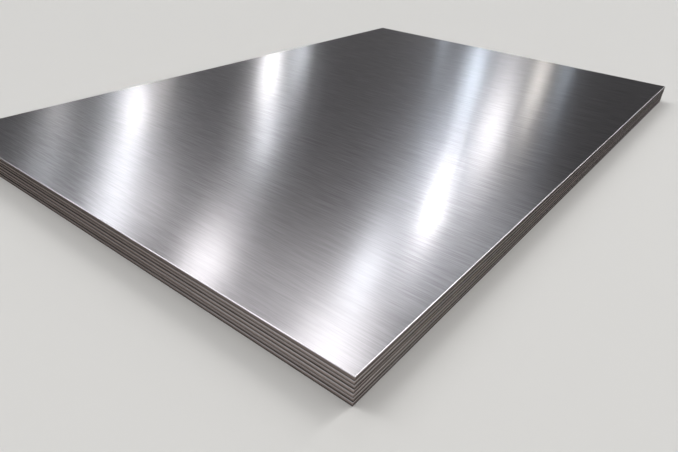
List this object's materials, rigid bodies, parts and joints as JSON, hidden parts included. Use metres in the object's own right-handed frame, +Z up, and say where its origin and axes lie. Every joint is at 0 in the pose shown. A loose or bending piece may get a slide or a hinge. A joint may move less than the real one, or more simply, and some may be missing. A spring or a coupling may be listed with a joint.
{
  "type": "stack of steel plates",
  "caption": "Neat stack of like rectangular stainless steel plates, brushed on their faces and sheared at their edges, lying flat as raw stock.",
  "frame": {"origin": "centre of the stack's underside, on the floor", "axes": "+X along the plates' long side, +Y along their short side, +Z up"},
  "size_m": [1.8298, 1.2198, 0.056],
  "materials": {
    "brushed_stainless": "bare stainless, brushed faces with the grain along the short side, duller sheared edges"
  },
  "bodies": {
    "root": {"bottom_plate": "brushed_stainless", "plate_2": "brushed_stainless", "plate_3": "brushed_stainless", "plate_4": "brushed_stainless", "plate_5": "brushed_stainless", "plate_6": "brushed_stainless", "top_plate": "brushed_stainless"}
  },
  "joints": []
}
